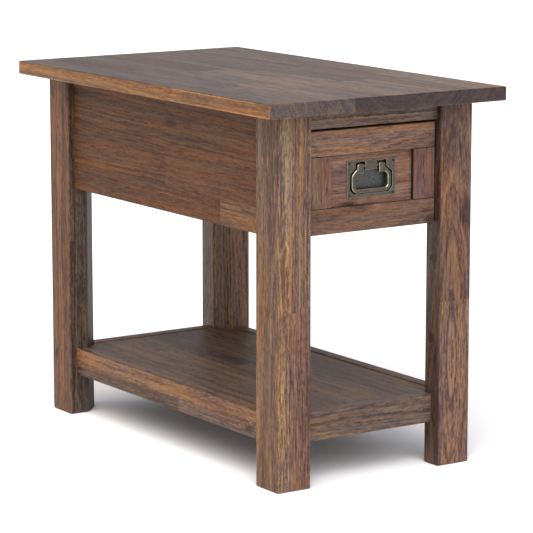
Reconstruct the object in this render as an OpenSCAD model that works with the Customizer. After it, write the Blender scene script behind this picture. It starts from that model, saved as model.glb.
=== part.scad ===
// Side table with one drawer and a low shelf, built as a knock-down hardwood table.
// X runs side to side, -Y is the drawer's front, +Z is up. The origin is on the floor, under the centre.

/* [Overall] */
// Width of the tabletop, side to side
table_w = 413; // [395:1:520]
// Depth of the tabletop, front to back
table_d = 712; // [590:1:900]
// Height from the floor to the tabletop's surface
table_h = 560; // [440:1:760]

/* [Tabletop] */
// Thickness of the tabletop
top_t = 21; // [18:0.5:32]
// How far the tabletop stands out past the legs at each side
overhang_side = 36; // [10:0.5:45]
// How far the tabletop stands out past the legs at the front and back
overhang_end = 33.5; // [10:0.5:60]

/* [Legs] */
// Width of each square leg
leg_w = 57; // [50:0.5:68]
// Depth of the flat cut off each leg's inner corner, along each face
leg_chamfer = 24; // [18:0.5:28]

/* [Upper frame] */
// Height of the side and back aprons
apron_h = 176; // [165:1:210]
// Thickness of the aprons
apron_t = 19; // [16:0.5:23]
// How far the aprons and the front top rail sit behind the legs' outer faces
apron_setback = 10.5; // [2:0.5:13]
// Height of the rail over the drawer
front_rail_h = 25; // [22:0.5:30]
// Depth of the rail over the drawer, front to back
front_rail_d = 28; // [20:0.5:30]

/* [Shelf] */
// Height from the floor to the underside of the shelf's rails
shelf_foot = 64; // [20:1:120]
// Height of the shelf's rails
shelf_rail_h = 43; // [40:0.5:60]
// Thickness of the shelf's rails
shelf_rail_t = 19; // [16:0.5:23]
// How far the side shelf rails sit behind the legs' outer faces
shelf_side_setback = 11; // [2:0.5:13]
// How far the end shelf rails sit behind the legs' outer faces
shelf_end_setback = 16; // [2:0.5:18]
// Thickness of the shelf panel
shelf_panel_t = 15; // [12:0.5:16]
// How far the shelf panel lies below the top of its rails
shelf_panel_drop = 1.5; // [0:0.1:2]
// Gap round the shelf panel
shelf_panel_gap = 1; // [0.5:0.1:3]
// Width and height of the strips that carry the shelf panel
shelf_cleat = 12; // [10:0.5:16]

/* [Drawer front] */
// How far the drawer's front sits behind the legs' outer faces
drawer_setback = 11; // [4:0.5:16]
// Gap between the drawer's front and the legs, and below the top rail
front_gap = 3; // [1.5:0.1:4]
// Thickness of the drawer front's frame
front_t = 20; // [18:0.5:24]
// Height of the two rails of the drawer's front
rail_h = 37; // [26:0.5:42]
// Width of the two stiles of the drawer's front
stile_w = 38.5; // [25:0.5:48]
// How far the centre panel lies behind the frame's face
panel_recess = 5.5; // [2:0.1:6]
// Thickness of the centre panel
panel_t = 12; // [11:0.5:13]
// Width of the groove that holds the centre panel
groove_t = 6; // [4:0.1:7]
// Depth of the groove that holds the centre panel
groove_deep = 8; // [5:0.5:9]

/* [Drawer box] */
// Length of the drawer box, front to back
box_l = 450; // [360:1:460]
// Height of the drawer box
box_h = 122; // [118:0.5:128]
// Thickness of the drawer box's sides
box_side_t = 12; // [11:0.5:16]
// Thickness of the drawer box's front and back
box_end_t = 12; // [11:0.5:16]
// Thickness of the drawer's bottom
bottom_t = 5; // [3:0.5:6]
// Height of the drawer's bottom above the lower edge of the box
bottom_up = 10; // [8:0.5:14]
// How far the drawer box sits above the lower edge of the drawer's front
box_lift = 12; // [8:0.5:14]

/* [Drawer slides] */
// Length of each slide
slide_l = 450; // [360:1:460]
// Height of each slide's outer member
slide_h = 35; // [32:0.5:45]
// Space each slide takes between the drawer box and its batten
slide_space = 12.5; // [12.5:0.1:14]
// Thickness of the slides' steel
slide_steel = 1.2; // [1:0.1:1.4]
// Diameter of the bearing balls
ball_d = 4; // [3:0.1:4.5]
// How far the drawer pulls out
drawer_travel = 300; // [230:1:330]
// Height of the battens that carry the slides
batten_h = 42; // [38:0.5:60]

/* [Fixings] */
// Thickness of the corner blocks
block_t = 22; // [18:0.5:26]
// Height of the corner blocks under the shelf
shelf_block_h = 25; // [22:0.5:26]
// Diameter of the hanger bolts
bolt_d = 8; // [6:0.5:10]
// Depth of the hanger bolts in the legs
bolt_bite = 22; // [18:0.5:26]
// Diameter of the dowels
dowel_d = 8; // [6:0.5:10]
// Length of the dowels
dowel_l = 36; // [24:1:38]

/* [Pull] */
// Width of the pull's plate
plate_w = 85; // [84:0.5:96]
// Height of the pull's plate
plate_h = 53.5; // [53:0.5:70]
// Thickness of the pull's plate
plate_t = 1.6; // [1:0.1:2.5]
// Depth of the hollow behind the bail, from the plate's face
cup_deep = 7.5; // [7:0.1:8]
// Width of the bail
bail_w = 68.5; // [66:0.5:72]
// Width of the bail's strip
bail_strip = 5.5; // [4:0.1:7]
// Thickness of the bail
bail_t = 4.5; // [3:0.1:5]
// Drop of the bail below its pivot
bail_drop = 38.2; // [32:0.1:38.5]

/* [Hidden] */
$fn = 40;

// Named clearances
glue_play = 0.1;        // round dowels and screws, across the diameter
slide_play = 0.15;      // over and under each ball
fit_play = 0.2;         // round tongues and tenons
hinge_play = 0.05;      // round the bail's pins, on the radius
pocket_play = 0.3;      // round the pull's cup in its pocket
bolt_play = 1;          // round the hanger bolts in the corner blocks, across the diameter

// Frame
top_z = table_h - top_t;
leg_x = table_w / 2 - overhang_side;
leg_y = table_d / 2 - overhang_end;
gap_x = leg_x - leg_w;
gap_y = leg_y - leg_w;
apron_z = top_z - apron_h;
apron_x = leg_x - apron_setback;
apron_y = leg_y - apron_setback;
side_face = apron_x - apron_t;          // inner faces of the side aprons
back_face = apron_y - apron_t;          // inner face of the back apron
front_face = apron_y - front_rail_d;    // inner face of the front top rail
front_rail_z = top_z - front_rail_h;

// Shelf
shelf_x = leg_x - shelf_side_setback;
shelf_y = leg_y - shelf_end_setback;
shelf_side_face = shelf_x - shelf_rail_t;
shelf_end_face = shelf_y - shelf_rail_t;
panel_top = shelf_foot + shelf_rail_h - shelf_panel_drop;
panel_z = panel_top - shelf_panel_t;

// Corner blocks: both faces lie at 45 degrees, so x + y is constant along each
block_gap = 4;                          // between the leg's cut corner and the block
chamfer_sum = gap_x + gap_y + leg_chamfer;
block_out = chamfer_sum - block_gap * sqrt(2);
block_in = block_out - block_t * sqrt(2);
block_bolt_z = front_rail_z + front_rail_h / 2;
shelf_block_z = panel_z - shelf_block_h;
shelf_bolt_z = shelf_block_z + shelf_block_h / 2;
block_screw_out = 18;                   // upright screws, along the block from its bolt
wing_in = 13;                           // wing screws, from the block's sharp end
wing_seat = 10;                         // depth of wood under a wing screw's head
wing_bite = 12;
bolt_stub = 15;                         // length of bolt inside the block
washer_t = 1.6;
washer_r = bolt_d;
nut_t = 6.5;
nut_r = bolt_d * 0.94;                  // across the corners of the nut, halved

// Screws
screw_d = 3.6;
screw_head = 7.4;
top_screw_sink = 6;
top_screw_bite = 14;
panel_screw_bite = 11;
cleat_count = 3;
batten_screw_bite = 11;
batten_screws_each = 4;
batten_screw_up = 10;                   // above the slide's own screws

// Dowels
dowel_reach = dowel_l / 2;
rail_dowel_in = 8;                      // front rail's dowel, behind the rail's face
apron_dowels = [for (i = [0:2]) apron_z + apron_h * (2 * i + 1) / 6];
shelf_dowels = [for (i = [0:1]) shelf_foot + shelf_rail_h * (2 * i + 1) / 4];

// Drawer front
front_y = -(leg_y - drawer_setback);
front_back = front_y + front_t;
front_x = gap_x - front_gap;
front_z = apron_z;
front_top = front_rail_z - front_gap;
open_x = front_x - stile_w;             // half width of the opening in the frame
open_lo = front_z + rail_h;
open_hi = front_top - rail_h;
groove_y = front_y + panel_recess + (panel_t - groove_t) / 2;

// Drawer box
box_x = gap_x - slide_space;
box_in = box_x - box_side_t;
box_z = front_z + box_lift;
box_y1 = front_back + box_l;
bottom_z = box_z + bottom_up;
bottom_bite = 5;                        // depth of the bottom's groove
front_screw_edge = 5.5;                 // upper front screws, below the box's top edge
front_screw_x = box_in - 26;
front_screw_bite = 14;

// Slides
slide_z = box_z + box_h / 2;
slide_y0 = front_back + 2;
slide_y1 = slide_y0 + slide_l;
slide_reach = 11;                       // width of the outer member's flanges
slide_lip = 1.3;
bumper_l = 8;
bumper_gap = 1;
inner_top = slide_h / 2 - slide_steel - ball_d - 2 * slide_play;
inner_reach = slide_space - 5;
ball_z = slide_h / 2 - slide_steel - slide_play - ball_d / 2;
ball_x = gap_x - 7;
balls_each = 6;
cage_t = 0.8;
cage_web = 3.5;                         // from the batten to the cage's web
cage_spare = 10;                        // slack for the cage at full travel
cage_l = slide_l - drawer_travel - cage_spare;
cage_y0 = slide_y0 + (slide_l - cage_l) / 2;
slide_screw_head = 1.8;
slide_screw_y = [for (i = [0:2]) slide_y0 + 40 + i * (slide_l - 90) / 2];

// Pull, measured from the plate's centre
pull_z = (front_z + front_top) / 2;
plate_y = front_y + panel_recess - plate_t;
pivot_z = 17.8;
pivot_in = 2.4;                         // pivot's depth behind the plate's face
pin_r = 1.5;
pin_bite = 4;
ear_out = 24.4;
ear_in = 13.6;
ear_top = 3.5;                          // above the pivot
ear_back = 1.8;                         // behind the pivot
bail_gap = 1;                           // between the bail and the bottom of the cup
side_gap = 3.2;                         // between the bail and the sides of the cup
shoulder_gap = 2;
bail_proud = 1.4;                       // bail's face in front of the plate's
bail_cut = 6.5;                         // bottom corners of the bail
shoulder_hi = 13.4;
shoulder_lo = 5.6;
notch_gap = 2.7;                        // between an ear and the side of its notch
notch_top = 24.9;
tab_x = 10.4;                           // half width of the tab that holds the pins
tab_z = 12.2;
cup_wall = 1.2;
nail_in_x = 4.4;
nail_in_z = 3.6;
nail_r = 2;
nail_l = 9;

// ---- Shared shapes ----

// A squared board between two corners
module board(x0, x1, y0, y1, z0, z1) {
    translate([x0, y0, z0]) cube([x1 - x0, y1 - y0, z1 - z0]);
}

// A piece drawn in the +X +Y quarter, moved to another quarter
module quarter(sx, sy) {
    mirror([sx < 0 ? 1 : 0, 0, 0]) mirror([0, sy < 0 ? 1 : 0, 0]) children();
}

// A piece drawn at +X, moved to one side
module side(sx) {
    mirror([sx < 0 ? 1 : 0, 0, 0]) children();
}

// An outline drawn in X and Z, run along Y
module along_y(y0, y1) {
    translate([0, y1, 0]) rotate([90, 0, 0]) linear_extrude(y1 - y0) children();
}

// A child drawn along +Z, turned to run along +X, +Y or -Y
module to_x() { rotate([0, 90, 0]) children(); }
module to_y() { rotate([-90, 0, 0]) children(); }
module to_front() { rotate([90, 0, 0]) children(); }

// Countersunk wood screw along +Z, its head flush at z = 0
module wood_screw(l, grow = 0) {
    head_h = (screw_head - screw_d) / 2;
    tip = 4;
    translate([0, 0, -grow]) cylinder(d1 = screw_head + 3 * grow, d2 = screw_d + grow, h = head_h + grow);
    cylinder(d = screw_d + grow, h = l - tip);
    translate([0, 0, l - tip]) cylinder(d1 = screw_d + grow, d2 = 1 + grow, h = tip + grow);
}

// The same screw with a cross recess in its head
module cross_screw(l) {
    difference() {
        wood_screw(l);
        for (a = [0, 90]) rotate([0, 0, a]) translate([-2, -0.4, -1]) cube([4, 0.8, 2.2]);
    }
}

// The hole for a sunk screw: a way in for the head, then the screw's own shape
module sunk_hole(l, way) {
    wood_screw(l, glue_play);
    translate([0, 0, -way]) cylinder(d = screw_head + 0.8, h = way);
}

// Pan-headed screw along +Z, the underside of its head at z = 0
module pan_screw(l, grow = 0) {
    translate([0, 0, -slide_screw_head]) cylinder(d = 6.4 + grow, h = slide_screw_head);
    cylinder(d = screw_d + grow, h = l);
}

// ---- Dowels, bolts and screws in the +X +Y quarter ----

module dowel_y(x, z, grow = 0) {
    translate([x, gap_y - dowel_reach - grow / 2, z]) to_y()
        cylinder(d = dowel_d + grow, h = dowel_l + grow);
}

module dowel_x(y, z, grow = 0) {
    translate([gap_x - dowel_reach - grow / 2, y, z]) to_x()
        cylinder(d = dowel_d + grow, h = dowel_l + grow);
}

module side_apron_dowels(grow = 0) {
    for (z = apron_dowels) dowel_y(apron_x - apron_t / 2, z, grow);
}

module back_apron_dowels(grow = 0) {
    for (z = apron_dowels) dowel_x(apron_y - apron_t / 2, z, grow);
}

module front_rail_dowel(grow = 0) {
    dowel_x(apron_y - rail_dowel_in, block_bolt_z, grow);
}

module shelf_side_dowels(grow = 0) {
    for (z = shelf_dowels) dowel_y(shelf_x - shelf_rail_t / 2, z, grow);
}

module shelf_end_dowels(grow = 0) {
    for (z = shelf_dowels) dowel_x(shelf_y - shelf_rail_t / 2, z, grow);
}

// A child drawn along +Z, turned to run square into the leg's cut corner
module on_bolt(z) {
    translate([gap_x + leg_chamfer / 2, gap_y + leg_chamfer / 2, z])
        rotate([0, 0, 45]) to_x() children();
}

module hanger_bolt(z, grow = 0) {
    inner = block_gap + block_t + bolt_stub;
    on_bolt(z) translate([0, 0, -inner]) cylinder(d = bolt_d + grow, h = inner + bolt_bite + grow);
}

module block_washer(z) {
    on_bolt(z) translate([0, 0, -block_gap - block_t - washer_t]) difference() {
        cylinder(r = washer_r, h = washer_t);
        translate([0, 0, -1]) cylinder(d = bolt_d + 0.4, h = washer_t + 2);
    }
}

module block_nut(z) {
    on_bolt(z) translate([0, 0, -block_gap - block_t - washer_t - nut_t]) difference() {
        cylinder(r = nut_r, h = nut_t, $fn = 6);
        translate([0, 0, -1]) cylinder(d = bolt_d + glue_play, h = nut_t + 2);
    }
}

// Places of a block's two upright screws
module block_uprights() {
    middle = (block_out + block_in) / 4;
    lean = (gap_x - gap_y) / 2;
    for (s = [-1, 1]) {
        shift = s * block_screw_out / sqrt(2);
        translate([middle + lean + shift, middle - lean - shift, 0]) children();
    }
}

// Places of a block's two wing screws, each drawn along +Z into its own board
module block_wings(face_x, face_y, z) {
    translate([face_x - wing_seat, block_in - face_x + wing_in, z]) to_x() children();
    translate([block_in - face_y + wing_in, face_y - wing_seat, z]) to_y() children();
}

module wing_holes(face_x, face_y, z) {
    block_wings(face_x, face_y, z) sunk_hole(wing_seat + wing_bite, 30);
}

// ---- Table frame ----

module leg(sx, sy) {
    color("#6b4a38") quarter(sx, sy) difference() {
        linear_extrude(top_z) polygon([
            [leg_x, leg_y], [gap_x, leg_y], [gap_x, gap_y + leg_chamfer],
            [gap_x + leg_chamfer, gap_y], [leg_x, gap_y]
        ]);
        side_apron_dowels(glue_play);
        if (sy > 0) back_apron_dowels(glue_play);
        else front_rail_dowel(glue_play);
        shelf_side_dowels(glue_play);
        shelf_end_dowels(glue_play);
        hanger_bolt(block_bolt_z, glue_play);
        hanger_bolt(shelf_bolt_z, glue_play);
    }
}

module leg_front_left() { leg(-1, -1); }
module leg_front_right() { leg(1, -1); }
module leg_back_left() { leg(-1, 1); }
module leg_back_right() { leg(1, 1); }

module upright_screw_holes() {
    for (sx = [-1, 1], sy = [-1, 1]) quarter(sx, sy) block_uprights() top_screw(glue_play);
}

module top_screw(grow = 0) {
    translate([0, 0, front_rail_z + top_screw_sink])
        wood_screw(front_rail_h - top_screw_sink + top_screw_bite, grow);
}

module tabletop() {
    color("#5d4a40") difference() {
        board(-table_w / 2, table_w / 2, -table_d / 2, table_d / 2, top_z, table_h);
        upright_screw_holes();
    }
}

module side_apron(sx) {
    color("#5a3d2e") side(sx) difference() {
        board(side_face, apron_x, -gap_y, gap_y, apron_z, top_z);
        for (sy = [-1, 1]) quarter(1, sy) side_apron_dowels(glue_play);
        quarter(1, 1) wing_holes(side_face, back_face, block_bolt_z);
        quarter(1, -1) wing_holes(side_face, front_face, block_bolt_z);
        batten_screw_row(glue_play);
    }
}

module apron_left() { side_apron(-1); }
module apron_right() { side_apron(1); }

module apron_back() {
    color("#5a3d2e") difference() {
        board(-gap_x, gap_x, back_face, apron_y, apron_z, top_z);
        for (sx = [-1, 1]) quarter(sx, 1) {
            back_apron_dowels(glue_play);
            wing_holes(side_face, back_face, block_bolt_z);
        }
    }
}

module front_top_rail() {
    color("#6a4d3b") difference() {
        board(-gap_x, gap_x, -apron_y, -front_face, front_rail_z, top_z);
        for (sx = [-1, 1]) quarter(sx, -1) {
            front_rail_dowel(glue_play);
            wing_holes(side_face, front_face, block_bolt_z);
        }
    }
}

// ---- Corner blocks ----

module block_body(face_x, face_y, z, h) {
    translate([0, 0, z]) linear_extrude(h) polygon([
        [face_x, block_out - face_x], [block_out - face_y, face_y],
        [block_in - face_y, face_y], [face_x, block_in - face_x]
    ]);
}

module corner_block(sx, sy) {
    face_y = sy > 0 ? back_face : front_face;
    color("#9c7a58") quarter(sx, sy) difference() {
        block_body(side_face, face_y, front_rail_z, front_rail_h);
        hanger_bolt(block_bolt_z, bolt_play);
        wing_holes(side_face, face_y, block_bolt_z);
        block_uprights() translate([0, 0, front_rail_z + top_screw_sink])
            sunk_hole(front_rail_h, top_screw_sink + 1);
    }
}

module corner_block_front_left() { corner_block(-1, -1); }
module corner_block_front_right() { corner_block(1, -1); }
module corner_block_back_left() { corner_block(-1, 1); }
module corner_block_back_right() { corner_block(1, 1); }

module shelf_block(sx, sy) {
    color("#9c7a58") quarter(sx, sy) difference() {
        block_body(shelf_side_face, shelf_end_face, shelf_block_z, shelf_block_h);
        hanger_bolt(shelf_bolt_z, bolt_play);
        wing_holes(shelf_side_face, shelf_end_face, shelf_bolt_z);
        block_uprights() translate([0, 0, shelf_block_z + top_screw_sink])
            sunk_hole(shelf_block_h, top_screw_sink + 1);
    }
}

module shelf_block_front_left() { shelf_block(-1, -1); }
module shelf_block_front_right() { shelf_block(1, -1); }
module shelf_block_back_left() { shelf_block(-1, 1); }
module shelf_block_back_right() { shelf_block(1, 1); }

// ---- Shelf ----

module shelf_side_rail(sx) {
    color("#7a5139") side(sx) difference() {
        board(shelf_side_face, shelf_x, -gap_y, gap_y, shelf_foot, shelf_foot + shelf_rail_h);
        for (sy = [-1, 1]) quarter(1, sy) {
            shelf_side_dowels(glue_play);
            wing_holes(shelf_side_face, shelf_end_face, shelf_bolt_z);
        }
    }
}

module shelf_rail_left() { shelf_side_rail(-1); }
module shelf_rail_right() { shelf_side_rail(1); }

module shelf_end_rail(sy) {
    color("#6a4a38") difference() {
        quarter(1, sy)
            board(-gap_x, gap_x, shelf_end_face, shelf_y, shelf_foot, shelf_foot + shelf_rail_h);
        for (sx = [-1, 1]) quarter(sx, sy) {
            shelf_end_dowels(glue_play);
            wing_holes(shelf_side_face, shelf_end_face, shelf_bolt_z);
        }
    }
}

module shelf_rail_front() { shelf_end_rail(-1); }
module shelf_rail_back() { shelf_end_rail(1); }

module shelf_panel() {
    px = shelf_side_face - shelf_panel_gap;
    py = shelf_end_face - shelf_panel_gap;
    cut = chamfer_sum - shelf_panel_gap * sqrt(2);      // clears the legs' cut corners
    color("#54443c") difference() {
        translate([0, 0, panel_z]) linear_extrude(shelf_panel_t) polygon([
            [px, cut - px], [cut - py, py], [py - cut, py], [-px, cut - px],
            [-px, px - cut], [py - cut, -py], [cut - py, -py], [px, px - cut]
        ]);
        for (sx = [-1, 1]) {
            for (sy = [-1, 1]) quarter(sx, sy) block_uprights() panel_screw(shelf_block_h, glue_play);
            side(sx) cleat_screw_row(glue_play);
        }
    }
}

// A screw up into the shelf panel through a piece of the given height
module panel_screw(h, grow = 0) {
    sink = h > 2 * top_screw_sink ? top_screw_sink : 0;
    translate([0, 0, panel_z - h + sink]) wood_screw(h - sink + panel_screw_bite, grow);
}

cleat_end = block_in - shelf_side_face - 4;             // stops short of the corner blocks
cleat_mid = shelf_side_face - shelf_cleat / 2;

module cleat_screw_row(grow = 0) {
    for (i = [0 : cleat_count - 1])
        translate([cleat_mid, (i - (cleat_count - 1) / 2) * cleat_end * 0.8, 0])
            panel_screw(shelf_cleat, grow);
}

module cleat(sx) {
    color("#9c7a58") side(sx) difference() {
        board(shelf_side_face - shelf_cleat, shelf_side_face, -cleat_end, cleat_end,
              panel_z - shelf_cleat, panel_z);
        cleat_screw_row(glue_play);
    }
}

module shelf_cleat_left() { cleat(-1); }
module shelf_cleat_right() { cleat(1); }

// ---- Loose fixings of the frame ----

module rail_dowels() {
    color("#b08d62") for (sx = [-1, 1], sy = [-1, 1]) quarter(sx, sy) {
        side_apron_dowels();
        if (sy > 0) back_apron_dowels();
        else front_rail_dowel();
        shelf_side_dowels();
        shelf_end_dowels();
    }
}

module each_bolt() {
    for (sx = [-1, 1], sy = [-1, 1]) quarter(sx, sy) children();
}

module hanger_bolts() {
    color("silver") each_bolt() {
        hanger_bolt(block_bolt_z);
        hanger_bolt(shelf_bolt_z);
    }
}

module bolt_washers() {
    color("silver") each_bolt() {
        block_washer(block_bolt_z);
        block_washer(shelf_bolt_z);
    }
}

module bolt_nuts() {
    color("silver") each_bolt() {
        block_nut(block_bolt_z);
        block_nut(shelf_bolt_z);
    }
}

module tabletop_screws() {
    color("goldenrod") for (sx = [-1, 1], sy = [-1, 1])
        quarter(sx, sy) block_uprights() translate([0, 0, front_rail_z + top_screw_sink])
            cross_screw(front_rail_h - top_screw_sink + top_screw_bite);
}

module block_screws() {
    color("goldenrod") for (sx = [-1, 1], sy = [-1, 1]) quarter(sx, sy) {
        block_wings(side_face, sy > 0 ? back_face : front_face, block_bolt_z)
            cross_screw(wing_seat + wing_bite);
        block_wings(shelf_side_face, shelf_end_face, shelf_bolt_z)
            cross_screw(wing_seat + wing_bite);
    }
}

module shelf_screws() {
    color("goldenrod") for (sx = [-1, 1]) {
        for (sy = [-1, 1]) quarter(sx, sy) block_uprights() panel_screw(shelf_block_h);
        side(sx) cleat_screw_row();
    }
}

// ---- Slides, right-hand side drawn at +X ----

module batten_screw_row(grow = 0) {
    l = side_face - gap_x + batten_screw_bite;
    for (i = [0 : batten_screws_each - 1]) {
        y = (i - (batten_screws_each - 1) / 2) * gap_y * 0.5;
        translate([gap_x, y, slide_z + batten_screw_up]) to_x() wood_screw(l, grow);
    }
}

module slide_batten(sx) {
    color("#9c7a58") side(sx) difference() {
        board(gap_x, side_face, -gap_y, gap_y, slide_z - batten_h / 2, slide_z + batten_h / 2);
        batten_screw_row(glue_play);
        outer_screw_row(glue_play);
    }
}

module slide_batten_left() { slide_batten(-1); }
module slide_batten_right() { slide_batten(1); }

module batten_screws() {
    color("goldenrod") for (sx = [-1, 1]) side(sx) batten_screw_row();
}

module outer_screw_row(grow = 0) {
    for (y = slide_screw_y) translate([gap_x - slide_steel, y, slide_z]) to_x() pan_screw(15, grow);
}

module slide_outer(sx) {
    color("#a9abae") side(sx) difference() {
        along_y(slide_y0, slide_y1) translate([gap_x, slide_z]) difference() {
            translate([-slide_reach, -slide_h / 2]) square([slide_reach, slide_h]);
            translate([-slide_reach + slide_steel, slide_steel - slide_h / 2])
                square([slide_reach - 2 * slide_steel, slide_h - 2 * slide_steel]);
            translate([-slide_reach - 1, slide_steel + slide_lip - slide_h / 2])
                square([slide_steel + 2, slide_h - 2 * (slide_steel + slide_lip)]);
        }
        outer_screw_row(glue_play);
    }
}

module slide_outer_left() { slide_outer(-1); }
module slide_outer_right() { slide_outer(1); }

module slide_outer_screws() {
    color("silver") for (sx = [-1, 1]) side(sx) outer_screw_row();
}

module slide_bumpers() {
    half = slide_h / 2 - slide_steel;
    color("#202020") for (sx = [-1, 1]) side(sx)
        board(gap_x - slide_reach + slide_steel, gap_x - slide_steel, slide_y1 - bumper_l, slide_y1,
              slide_z - half, slide_z + half);
}

module ball_places() {
    pitch = cage_l / balls_each;
    for (i = [0 : balls_each - 1], s = [-1, 1])
        translate([ball_x, cage_y0 + (i + 0.5) * pitch, slide_z + s * ball_z]) children();
}

module ball_cage(sx) {
    x1 = gap_x - cage_web;
    half = ball_z + cage_t / 2;
    reach = x1 - ball_x + ball_d / 2 + 0.6;
    color("#c8c9c4") side(sx) difference() {
        along_y(cage_y0, cage_y0 + cage_l) translate([x1, slide_z]) difference() {
            translate([-reach, -half]) square([reach, 2 * half]);
            translate([-reach - 1, cage_t - half]) square([reach + 1 - cage_t, 2 * (half - cage_t)]);
        }
        ball_places() translate([0, 0, -1]) cylinder(d = ball_d + 2 * slide_play, h = 2);
    }
}

module ball_cage_left() { ball_cage(-1); }
module ball_cage_right() { ball_cage(1); }

module cage_balls(sx) {
    color("#dcdcdc") side(sx) ball_places() sphere(d = ball_d);
}

module cage_balls_left() { cage_balls(-1); }
module cage_balls_right() { cage_balls(1); }

module inner_screw_row(grow = 0) {
    for (y = slide_screw_y)
        translate([box_x + slide_steel, y, slide_z]) rotate([0, -90, 0]) pan_screw(10, grow);
}

module slide_inner(sx) {
    color("#b7b9bb") side(sx) difference() {
        along_y(slide_y0, slide_y1 - bumper_l - bumper_gap) translate([box_x, slide_z]) difference() {
            translate([0, -inner_top]) square([inner_reach, 2 * inner_top]);
            translate([slide_steel, slide_steel - inner_top])
                square([inner_reach, 2 * (inner_top - slide_steel)]);
        }
        inner_screw_row(glue_play);
    }
}

module slide_inner_left() { slide_inner(-1); }
module slide_inner_right() { slide_inner(1); }

module slide_inner_screws() {
    color("silver") for (sx = [-1, 1]) side(sx) inner_screw_row();
}

// ---- Drawer front ----

module rail_groove(z0, z1) {
    board(-front_x - 1, front_x + 1, groove_y, groove_y + groove_t, z0, z1);
}

module drawer_top_rail() {
    color("#6e4e3c") difference() {
        board(-front_x, front_x, front_y, front_back, open_hi, front_top);
        rail_groove(open_hi - 1, open_hi + groove_deep);
        front_screw_row(glue_play);
    }
}

module drawer_bottom_rail() {
    color("#6e4e3c") difference() {
        board(-front_x, front_x, front_y, front_back, front_z, open_lo);
        rail_groove(open_lo - groove_deep, open_lo + 1);
        front_screw_row(glue_play);
    }
}

module drawer_stile(sx) {
    tenon = groove_deep - fit_play;
    color("#74503f") side(sx) difference() {
        union() {
            board(open_x, front_x, front_y, front_back, open_lo, open_hi);
            board(open_x, front_x, groove_y + fit_play / 2, groove_y + groove_t - fit_play / 2,
                  open_lo - tenon, open_hi + tenon);
        }
        board(open_x - 1, open_x + groove_deep, groove_y, groove_y + groove_t,
              open_lo - groove_deep - 1, open_hi + groove_deep + 1);
    }
}

module drawer_stile_left() { drawer_stile(-1); }
module drawer_stile_right() { drawer_stile(1); }

module drawer_panel() {
    field_x = open_x - fit_play;
    tongue_x = open_x + groove_deep - fit_play;
    tongue_z = groove_deep - fit_play;
    color("#7a5a47") difference() {
        union() {
            board(-field_x, field_x, front_y + panel_recess, front_y + panel_recess + panel_t,
                  open_lo + fit_play, open_hi - fit_play);
            board(-tongue_x, tongue_x, groove_y + fit_play / 2, groove_y + groove_t - fit_play / 2,
                  open_lo - tongue_z, open_hi + tongue_z);
        }
        on_plate() along_y(0, cup_deep + cup_wall + pocket_play)
            polygon(cup_outline(cup_wall + pocket_play));
        nail_row(glue_play);
    }
}

// ---- Drawer box ----

module bottom_groove() {
    edge_x = box_in + bottom_bite;
    board(-edge_x, edge_x, front_back + box_end_t - bottom_bite, box_y1 - box_end_t + bottom_bite,
          bottom_z - fit_play / 2, bottom_z + bottom_t + fit_play / 2);
}

module box_bottom() {
    edge_x = box_in + bottom_bite - fit_play;
    edge_y = bottom_bite - fit_play;
    color("#b8966a")
        board(-edge_x, edge_x, front_back + box_end_t - edge_y, box_y1 - box_end_t + edge_y,
              bottom_z, bottom_z + bottom_t);
}

module box_front() {
    color("#a67c52") difference() {
        board(-box_in, box_in, front_back, front_back + box_end_t, box_z, box_z + box_h);
        bottom_groove();
        front_screw_row(glue_play);
    }
}

module box_back() {
    color("#a67c52") difference() {
        board(-box_in, box_in, box_y1 - box_end_t, box_y1, box_z, box_z + box_h);
        bottom_groove();
    }
}

module box_side(sx) {
    color("#a67c52") side(sx) difference() {
        board(box_in, box_x, front_back, box_y1, box_z, box_z + box_h);
        bottom_groove();
        inner_screw_row(glue_play);
    }
}

module box_side_left() { box_side(-1); }
module box_side_right() { box_side(1); }

module front_screw_row(grow = 0) {
    low = box_z + bottom_up / 2;
    high = box_z + box_h - front_screw_edge;
    for (sx = [-1, 1], z = [low, high])
        translate([sx * front_screw_x, front_back + box_end_t, z]) to_front()
            wood_screw(box_end_t + front_screw_bite, grow);
}

module front_screws() {
    color("goldenrod") front_screw_row();
}

// ---- Pull ----

// A child drawn round the plate's centre, y = 0 at the plate's face
module on_plate() {
    translate([0, plate_y, pull_z]) children();
}

// Outline of the cup, grown by g all round
function cup_outline(g) =
    let (nx = ear_out + notch_gap + g, nz = notch_top + g, bx = bail_w / 2 + side_gap + g,
         bz = bail_drop - pivot_z + bail_gap + g, c = bail_cut + g * 0.6,
         hi = shoulder_hi + shoulder_gap + g * 0.4, lo = shoulder_lo + shoulder_gap + g * 0.4)
    [[-nx, nz], [-nx, hi], [-bx, lo], [-bx, c - bz], [c - bx, -bz],
     [bx - c, -bz], [bx, c - bz], [bx, lo], [nx, hi], [nx, nz]];

module pull_plate() {
    color("#6f6a58") on_plate() difference() {
        union() {
            board(-plate_w / 2, plate_w / 2, 0, plate_t, -plate_h / 2, plate_h / 2);
            along_y(plate_t - 0.1, cup_deep + cup_wall) polygon(cup_outline(cup_wall));
        }
        difference() {
            along_y(-1, cup_deep) polygon(cup_outline(0));
            board(-tab_x, tab_x, -2, cup_deep + 1, tab_z, notch_top + 1);
        }
        translate([-tab_x - 1, pivot_in, pivot_z]) to_x()
            cylinder(r = pin_r + hinge_play, h = 2 * tab_x + 2);
        translate([0, -plate_y, -pull_z]) nail_row(glue_play);
    }
}

module nail_row(grow = 0) {
    on_plate() for (sx = [-1, 1], sz = [-1, 1])
        translate([sx * (plate_w / 2 - nail_in_x), 0, sz * (plate_h / 2 - nail_in_z)]) to_y()
            cylinder(d = 1.6 + grow, h = nail_l);
}

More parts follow.
